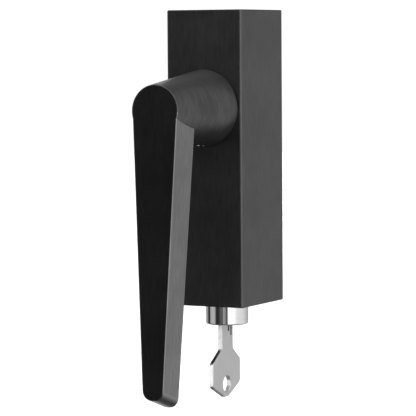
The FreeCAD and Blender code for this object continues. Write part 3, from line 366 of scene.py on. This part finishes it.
ZINC_CASTING = Finish("zinc_casting", (0.40, 0.41, 0.42), (0.50, 0.51, 0.52), 0.52,
                      mark_pitch=0.8 * MM, mark_depth=2e-5, speck=0.5)
ZINC_PLATE = Finish("zinc_plate", (0.55, 0.56, 0.57), (0.68, 0.69, 0.70), 0.36, grain=Grain.UPRIGHT,
                    mark_pitch=0.5 * MM, cloud=0.20)
BRIGHT_STEEL = Finish("bright_steel", (0.58, 0.58, 0.585), (0.70, 0.70, 0.705), 0.27,
                      grain=Grain.TURNED_Y, mark_pitch=0.25 * MM, mark_depth=3e-6)
DARK_STEEL = Finish("black_oxide", (0.045, 0.045, 0.05), (0.09, 0.09, 0.095), 0.42,
                    mark_pitch=0.4 * MM, speck=0.3)
NYLON = Finish("white_nylon", (0.70, 0.70, 0.67), (0.80, 0.80, 0.77), 0.55, metallic=0.0,
               mark_pitch=1.2 * MM, mark_depth=1e-5)
BRASS = Finish("stamped_brass", (0.62, 0.46, 0.20), (0.78, 0.62, 0.32), 0.33, grain=Grain.UPRIGHT,
               mark_pitch=0.3 * MM, mark_length=6 * MM, cloud=0.15)

SLOT_FINISH = {
    "black_finish": BLACK_BOX, "zinc_casting": ZINC_CASTING, "zinc_plate": ZINC_PLATE,
    "bright_steel": BRIGHT_STEEL, "dark_steel": DARK_STEEL, "nylon": NYLON,
    "chromed_brass": CHROME, "brass": BRASS, "key_nickel": NICKEL,
}


class Paint:
    """Keeps one material for each finish."""

    def __init__(self) -> None:
        """Starts with no material made."""
        self.made: dict[str, bpy.types.Material] = {}

    def __call__(self, finish: Finish) -> bpy.types.Material:
        """The material of a finish, made once.

        Args:
            finish: the finish.

        Returns:
            Its material.
        """
        if finish.name not in self.made:
            self.made[finish.name] = finish.material()
        return self.made[finish.name]


# ---------------------------------------------------------------- modelling

def only(piece: bpy.types.Object) -> None:
    """Selects one object and makes it the active one.

    Args:
        piece: the object.
    """
    bpy.ops.object.select_all(action="DESELECT")
    piece.select_set(True)
    bpy.context.view_layer.objects.active = piece


def edit(piece: bpy.types.Object, *steps: Callable[[], Any]) -> None:
    """Runs operators on a piece in edit mode.

    Args:
        piece: the object to shape.
        *steps: functions that call one operator each.
    """
    only(piece)
    bpy.ops.object.mode_set(mode="EDIT")
    for step in steps:
        step()
    bpy.ops.object.mode_set(mode="OBJECT")


def apply_modifier(piece: bpy.types.Object, kind: str, **settings: Any) -> None:
    """Adds a modifier, sets it and applies it.

    Args:
        piece: the object to shape.
        kind: the modifier's type.
        **settings: its settings by name.
    """
    only(piece)
    modifier = piece.modifiers.new(kind.lower(), kind)
    for name, value in settings.items():
        setattr(modifier, name, value)
    bpy.ops.object.modifier_apply(modifier=modifier.name)


@dataclass
class Surface:
    """Makes a finished, smooth-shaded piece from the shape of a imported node."""

    paint: Paint
    nodes: dict[str, bpy.types.Object]
    merge: float = 2e-7
    flat: float = math.radians(0.25)
    smooth: float = math.radians(20)
    crease: float = math.radians(35)
    area_weight: int = 100

    def take(self, node: str, name: str) -> bpy.types.Object:
        """Copies a node's shape and joins its loose triangles into whole faces.

        Args:
            node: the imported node.
            name: the new piece's name.

        Returns:
            The new piece, at the origin.
        """
        source = self.nodes[node]
        piece = source.copy()
        piece.data = source.data.copy()
        piece.name = piece.data.name = name
        piece.parent = None
        for key in list(piece.keys()):
            del piece[key]
        piece.matrix_world = Matrix.Identity(4)
        bpy.context.scene.collection.objects.link(piece)
        edit(piece,
             lambda: bpy.ops.mesh.select_all(action="SELECT"),
             lambda: bpy.ops.mesh.remove_doubles(threshold=self.merge),
             lambda: bpy.ops.mesh.customdata_custom_splitnormals_clear(),
             lambda: bpy.ops.mesh.dissolve_limited(angle_limit=self.flat))
        return piece

    def ease(self, piece: bpy.types.Object, width: float, segments: int = 2) -> None:
        """Breaks the sharp edges of a piece.

        Args:
            piece: the piece.
            width: how far the break runs on each side.
            segments: how many faces cross it.
        """
        apply_modifier(piece, "BEVEL", width=width, segments=segments, limit_method="ANGLE",
                       angle_limit=self.crease, use_clamp_overlap=True,
                       miter_outer="MITER_ARC", harden_normals=False)

    def finish(self, piece: bpy.types.Object, body: str, slot: str, node: str,
               finishes: Sequence[Finish]) -> None:
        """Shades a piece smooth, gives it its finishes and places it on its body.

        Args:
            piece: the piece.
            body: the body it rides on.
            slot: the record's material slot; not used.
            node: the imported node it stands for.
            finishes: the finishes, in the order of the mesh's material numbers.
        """
        only(piece)
        bpy.ops.object.shade_smooth_by_angle(angle=self.smooth)
        apply_modifier(piece, "WEIGHTED_NORMAL", mode="FACE_AREA_WITH_ANGLE",
                       weight=self.area_weight, keep_sharp=True)
        piece.data.materials.clear()
        for finish in finishes:
            piece.data.materials.append(self.paint(finish))
        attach(piece, body)
        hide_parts(node)
        LOG.info("%s: %d faces on %s", piece.name, len(piece.data.polygons), body)


# ---------------------------------------------------------------- sub-assemblies

@dataclass
class BoxHousing:
    """The box housing, its plate on the sash and what shows at its open back."""

    surface: Surface
    edge: float = 0.12 * MM
    parts: tuple[tuple[str, str, str, Finish], ...] = (
        ("housing", "box_shell", "black_finish", BLACK_BOX),
        ("base_plate", "sash_plate", "zinc_plate", ZINC_PLATE),
        ("spindle_guide", "guide_ring", "nylon", NYLON),
        ("housing_set_screws", "set_screws", "dark_steel", DARK_STEEL),
        ("thrust_washer", "neck_washer", "nylon", NYLON),
        ("mechanism_case", "case_block", "zinc_casting", ZINC_CASTING),
        ("case_cover", "case_rear_cover", "zinc_plate", ZINC_PLATE),
        ("case_screws", "cover_fixing_screws", "bright_steel", BRIGHT_STEEL),
        ("cover_screws", "cover_closing_screws", "bright_steel", BRIGHT_STEEL),
    )

    def build(self) -> None:
        """Makes each part of the housing."""
        for node, name, slot, finish in self.parts:
            piece = self.surface.take(node, name)
            if node in ("housing", "base_plate"):
                self.surface.ease(piece, self.edge)
            self.surface.finish(piece, "housing", slot, node, [finish])


@dataclass
class Handle:
    """The lever with its turned neck, its grub screw, the spindle and the notched disc.

    neck_start and neck_low bound the neck, from the handle's axis. A face belongs to the neck when
    its normal leans away from the axis by more than rim_turn above it, or side_turn below it.
    """

    surface: Surface
    neck_start: float = 9.0 * MM
    neck_low: float = 17.0 * MM
    rim_turn: float = 0.25
    side_turn: float = 0.90

    def _is_turned(self, polygon: bpy.types.MeshPolygon) -> bool:
        """Tells a face of the turned neck from a face of the flat grip.

        Args:
            polygon: a face of the lever.

        Returns:
            Whether it belongs to the neck.
        """
        centre, normal = polygon.center, polygon.normal
        radial = Vector((centre.x, 0.0, centre.z))
        if radial.length < self.neck_start:
            return False
        least = self.rim_turn if centre.z > 0.0 else self.side_turn
        return normal.dot(radial.normalized()) > least and centre.z > -self.neck_low

    def build(self) -> None:
        """Makes the lever, the spindle, the grub screw and the disc."""
        lever = self.surface.take("lever_handle", "lever_and_neck")
        self.surface.finish(lever, "handle", "black_finish", "lever_handle",
                            [BLACK_LEVER, BLACK_NECK])
        for polygon in lever.data.polygons:
            polygon.material_index = int(self._is_turned(polygon))
        for node, name, slot, finish in (
                ("spindle", "square_spindle", "bright_steel", BRIGHT_STEEL),
                ("handle_grub_screw", "grub_screw", "dark_steel", DARK_STEEL),
                ("index_disc", "notched_disc", "bright_steel", BRIGHT_STEEL)):
            piece = self.surface.take(node, name)
            self.surface.finish(piece, "handle", slot, node, [finish])


@dataclass
class Lock:
    """The chromed barrel and its turning plug."""

    surface: Surface
    lip: float = 0.6 * MM
    lip_steps: int = 5
    near: float = 0.02 * MM

    def _round_lip(self, barrel: bpy.types.Object) -> None:
        """Rounds the outer edge at the barrel's lower end.

        Args:
            barrel: the barrel's piece.
        """
        mesh = barrel.data
        radius = [math.hypot(v.co.x, v.co.y + LOCK_AXIS_DEPTH) for v in mesh.vertices]
        bottom = min(v.co.z for v in mesh.vertices)
        outer = max(r for r, v in zip(radius, mesh.vertices) if v.co.z < bottom + self.near)
        rim = {v.index for r, v in zip(radius, mesh.vertices)
               if v.co.z < bottom + self.near and r > outer - self.near}
        only(barrel)
        bpy.ops.object.mode_set(mode="EDIT")
        bpy.ops.mesh.select_mode(type="EDGE")
        bpy.ops.mesh.select_all(action="DESELECT")
        bpy.ops.object.mode_set(mode="OBJECT")
        for edge in mesh.edges:
            edge.select = rim.issuperset(edge.vertices)
        edit(barrel, lambda: bpy.ops.mesh.bevel(offset=self.lip, segments=self.lip_steps,
                                                clamp_overlap=False))

    def build(self) -> None:
        """Makes the barrel and the plug."""
        barrel = self.surface.take("lock_barrel", "barrel_sleeve")
        self._round_lip(barrel)
        self.surface.finish(barrel, "housing", "chromed_brass", "lock_barrel", [CHROME])
        plug = self.surface.take("lock_plug", "plug_core")
        self.surface.finish(plug, "plug", "chromed_brass", "lock_plug", [CHROME])


class KeyFace(IntEnum):
    """The kinds of face on the key, numbered in the order of their finishes."""

    FLAT = 0
    # the upright edges take a painted highlight, and the grooves take painted shade
    UPRIGHT_EDGE = 1
    GROOVE = 2
    SLOPING_EDGE = 3


KEY_FINISH = {
    KeyFace.FLAT: NICKEL, KeyFace.UPRIGHT_EDGE: KEY_EDGE_PAINTED_HIGHLIGHT, KeyFace.GROOVE: KEY_GROOVE_PAINTED_SHADE,
    KeyFace.SLOPING_EDGE: NICKEL_SLOPE,
}


@dataclass
class Key:
    """The flat key. Its milled edges are painted near-white as a painted highlight, and its milled
    grooves are painted dark as painted shade.
    """

    surface: Surface
    edge: float = 0.08 * MM
    half_thick: float = 1.0 * MM
    groove_floor: float = 0.2 * MM
    shank_half: float = 4.5 * MM
    blade_axis: float = -19.4 * MM
    bow_start: float = -98.0 * MM
    hole_axis: tuple[float, float] = (-20.1 * MM, -114.1 * MM)
    hole_reach: float = 3.6 * MM
    faces_side: float = 0.9
    faces_front: float = 0.93
    faces_edge: float = 0.3

    def _kind(self, polygon: bpy.types.MeshPolygon) -> KeyFace:
        """Tells apart the flat faces, the milled edges, which take a painted highlight, and the
        milled grooves, which take painted shade.

        Args:
            polygon: a face of the key.

        Returns:
            What kind of face it is.
        """
        centre, normal = polygon.center, polygon.normal
        in_bow = centre.z < self.bow_start
        sunk = abs(centre.x) < self.half_thick - self.groove_floor
        # the sunk faces of the blade are the grooves, which take painted shade
        if sunk and centre.z > self.bow_start:
            off_axis = abs(centre.y - self.blade_axis)
            if abs(normal.x) > self.faces_side or off_axis < self.shank_half - self.groove_floor:
                return KeyFace.GROOVE
        # faces square to Y are the upright edges, which take a painted highlight
        if abs(normal.y) > self.faces_front:
            return KeyFace.UPRIGHT_EDGE
        off_hole = math.dist((centre.y, centre.z), self.hole_axis) > self.hole_reach
        if abs(normal.x) < self.faces_edge and off_hole and in_bow:
            return KeyFace.SLOPING_EDGE
        return KeyFace.FLAT

    def build(self) -> None:
        """Makes the key, with its milled edges marked for a painted highlight and its grooves marked
        for painted shade.
        """
        key = self.surface.take("key", "flat_key")
        self.surface.ease(key, self.edge)
        self.surface.finish(key, "key", "key_nickel", "key", list(KEY_FINISH.values()))
        # the material numbers put a painted highlight on the upright edges and painted shade in the
        # grooves
        for polygon in key.data.polygons:
            polygon.material_index = int(self._kind(polygon))


@dataclass
class Inside:
    """The nodes that stay as packed and only take their finish."""

    surface: Surface
    record: dict[str, Any]

    def build(self) -> None:
        """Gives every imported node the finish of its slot."""
        slots = {row["node"]: row["material_slot"] for row in self.record["subparts"]}
        for name, node in self.surface.nodes.items():
            node.data.materials.clear()
            node.data.materials.append(self.surface.paint(SLOT_FINISH[slots[name]]))


# ---------------------------------------------------------------- studio

@dataclass(frozen=True)
class Studio:
    """A pale floor and soft light all round, brighter from the right and the back.

    around, above and beneath give the studio's panels as an angle in degrees and a brightness for
    each stop: at the horizon, over it and under it. The bands say where one passes into the next,
    by the height of a direction, which is 1 straight up or down. backdrop is what the camera sees.
    """

    floor_drop: float = 60 * MM
    floor_width: float = 2.4
    floor_length: float = 7.0
    floor_tones: tuple[Colour, Colour] = ((0.90, 0.90, 0.90), (0.93, 0.93, 0.93))
    floor_rough: float = 0.9
    floor_shine: float = 0.1
    fibre_scale: float = 30.0
    sun: float = 3.6
    sun_angle: float = math.radians(60)
    sun_turn: tuple[float, float, float] = (math.radians(38), 0.0, math.radians(-20))
    around: tuple[Range, ...] = (
        (-180, 0.46), (-150, 0.42), (-128, 0.36), (-101, 0.33), (-97, 0.03), (-81, 0.03),
        (-76, 0.40), (-60, 0.52), (-43, 0.46), (-38, 0.05), (-24, 0.02), (-10, 0.09), (-5, 0.24),
        (8, 0.36), (19, 0.26), (23, 0.07), (29, 0.07), (33, 1.80), (55, 1.50), (66, 1.25),
        (74, 1.05), (85, 0.87), (110, 0.83), (127, 0.78), (147, 0.59), (180, 0.42))
    above: tuple[Range, ...] = (
        (-180, 0.15), (-170, 0.25), (-158, 0.85), (-122, 0.85), (-104, 0.10), (-60, 0.12),
        (-20, 0.14), (0, 0.20), (60, 1.80), (140, 0.60), (165, 0.20), (180, 0.15))
    beneath: tuple[Range, ...] = (
        (-180, 0.60), (-120, 0.50), (-90, 0.10), (-60, 0.05), (0, 0.05), (40, 0.30), (90, 0.85),
        (130, 0.90), (150, 0.78), (180, 0.50))
    underneath: float = 0.10
    above_band: Range = (0.03, 0.30)
    beneath_band: Range = (0.12, 0.32)
    underneath_band: Range = (0.30, 0.82)
    soft_place: tuple[float, float, float] = (-83 * MM, -197 * MM, 190 * MM)
    soft_aim: tuple[float, float, float] = (0.0, -37 * MM, 40 * MM)
    soft_width: float = 120 * MM
    soft_power: float = 0.10
    backdrop: float = 1.05

    def build(self, low: Vector, camera_azimuth: float) -> None:
        """Makes the floor, the overhead light, the soft box and the surrounding light.

        Args:
            low: the lowest corner of the object.
            camera_azimuth: the camera's angle round the object.
        """
        self._floor(low.z - self.floor_drop, camera_azimuth)
        light = bpy.data.lights.new("overhead", "SUN")
        light.energy, light.angle = self.sun, self.sun_angle
        lamp = bpy.data.objects.new("overhead", light)
        lamp.rotation_euler = self.sun_turn
        lamp.visible_glossy = False
        bpy.context.scene.collection.objects.link(lamp)
        self._soft_box()
        self._world()

    def _soft_box(self) -> None:
        """Makes the small soft light that shades the front of the box from its top down."""
        light = bpy.data.lights.new("soft_box", "AREA")
        light.shape, light.size, light.energy = "SQUARE", self.soft_width, self.soft_power
        lamp = bpy.data.objects.new("soft_box", light)
        place, aim = Vector(self.soft_place), Vector(self.soft_aim)
        lamp.matrix_world = (Matrix.Translation(place)
                             @ (place - aim).to_track_quat("Z", "Y").to_matrix().to_4x4())
        lamp.visible_camera = False
        bpy.context.scene.collection.objects.link(lamp)

    def _floor(self, height: float, camera_azimuth: float) -> None:
        """Makes the plain pale floor under the object.

        Args:
            height: the floor's place on Z.
            camera_azimuth: the camera's angle round the object, which the floor's length follows.
        """
        bpy.ops.object.select_all(action="DESELECT")
        bpy.ops.mesh.primitive_plane_add(size=1.0, location=(0.0, 0.0, height))
        floor = bpy.context.object
        floor.name = "floor"
        floor.scale = (self.floor_width, self.floor_length, 1.0)
        floor.rotation_euler = (0.0, 0.0, camera_azimuth)
        material = bpy.data.materials.new("pale_paper")
        material.use_nodes = True
        bench = Bench(material.node_tree)
        fibre = bench.noise(bench.coordinates(), scale=self.fibre_scale, detail=4.0)
        colour = bench.blend(fibre, *self.floor_tones)
        shader = bench.node("ShaderNodeBsdfPrincipled", {}, {
            "Base Color": colour, "Roughness": self.floor_rough,
            "Specular IOR Level": self.floor_shine})
        bench.raw("ShaderNodeOutputMaterial", {}, {"Surface": shader})
        floor.data.materials.append(material)
        floor.visible_glossy = False
        floor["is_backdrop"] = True

    @staticmethod
    def _panels(bench: Bench, place: Signal, row: Sequence[Range]) -> Signal:
        """The brightness of one row of studio panels.

        Args:
            bench: the world's bench.
            place: the angle round the object, from 0 to 1.
            row: an angle in degrees and a brightness for each stop.

        Returns:
            The row's brightness at that angle.
        """
        stops = [(angle / 360 + 0.5, (value, value, value)) for angle, value in row]
        return bench.node("ShaderNodeValToRGB", {"stops": stops}, [place])

    def _world(self) -> None:
        """Makes the light around the object, with the panels of a studio."""
        world = bpy.data.worlds.new("studio")
        world.use_nodes = True
        bpy.context.scene.world = world
        bench = Bench(world.node_tree)
        x, y, z = bench.split(bench.node("ShaderNodeTexCoord", {}, output="Generated"))
        turn = bench.node("ShaderNodeMath", {"operation": "ARCTAN2"}, [x, y * -1.0])
        place = turn / math.tau + 0.5
        level, high, low = (self._panels(bench, place, row)
                            for row in (self.around, self.above, self.beneath))
        down = z * -1.0
        upper = bench.blend(z.between(*self.above_band), level, high)
        sides = bench.blend(down.between(*self.beneath_band), upper, low)
        light = bench.blend(down.between(*self.underneath_band), sides, (self.underneath,) * 3)
        camera_sees = bench.node("ShaderNodeLightPath", {}, output="Is Camera Ray")
        colour = bench.blend(camera_sees, light, (self.backdrop,) * 3)
        shader = bench.node("ShaderNodeBackground", {}, {"Color": colour, "Strength": 1.0})
        bench.raw("ShaderNodeOutputWorld", {}, {"Surface": shader})


@dataclass(frozen=True)
class Viewpoint:
    """The camera: its angle, its distance and the long lens of a product picture."""

    azimuth: float = math.radians(27.642)
    elevation: float = math.radians(3.91)
    roll: float = math.radians(-0.405)
    distance: float = 1012.89 * MM
    aside: float = -15.668 * MM
    above: float = -22.226 * MM
    centre: Vector = field(default_factory=lambda: Vector((0.0, 0.0, -20.5 * MM)))
    lens: float = 210.04
    sensor: float = 36.0
    clip: Range = (0.05, 50.0)

    def build(self) -> bpy.types.Object:
        """Makes the camera and makes it the scene's.

        Returns:
            The camera.
        """
        a, e, r = self.azimuth, self.elevation, self.roll
        back = Vector((math.sin(a) * math.cos(e), -math.cos(a) * math.cos(e), math.sin(e)))
        level = Vector((math.cos(a), math.sin(a), 0.0))
        lift = back.cross(level)
        right = math.cos(r) * level + math.sin(r) * lift
        up = math.cos(r) * lift - math.sin(r) * level
        place = self.centre + back * self.distance + right * self.aside + up * self.above
        data = bpy.data.cameras.new("camera")
        data.lens, data.sensor_width = self.lens, self.sensor
        data.clip_start, data.clip_end = self.clip
        camera = bpy.data.objects.new("camera", data)
        camera.matrix_world = Matrix((
            (right.x, up.x, back.x, place.x), (right.y, up.y, back.y, place.y),
            (right.z, up.z, back.z, place.z), (0.0, 0.0, 0.0, 1.0)))
        bpy.context.scene.collection.objects.link(camera)
        bpy.context.scene.camera = camera
        return camera


def plain(corners: Iterable[Iterable[float]]) -> list[list[float]]:
    """Two corners as plain lists of numbers."""
    return [[float(value) for value in corner] for corner in corners]


def main() -> None:
    """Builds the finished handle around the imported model."""
    logging.basicConfig(level=logging.INFO, format="%(message)s")
    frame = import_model()
    cad_box = plain(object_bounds())
    view = Viewpoint()
    view.build()
    surface = Surface(Paint(), frame["nodes"])
    for part in (Inside(surface, frame["record"]), BoxHousing(surface), Handle(surface),
                 Lock(surface), Key(surface)):
        part.build()
    Studio().build(Vector(cad_box[0]), view.azimuth)
    bpy.context.scene.view_settings.view_transform = "Standard"


if __name__ == "__main__":
    main()
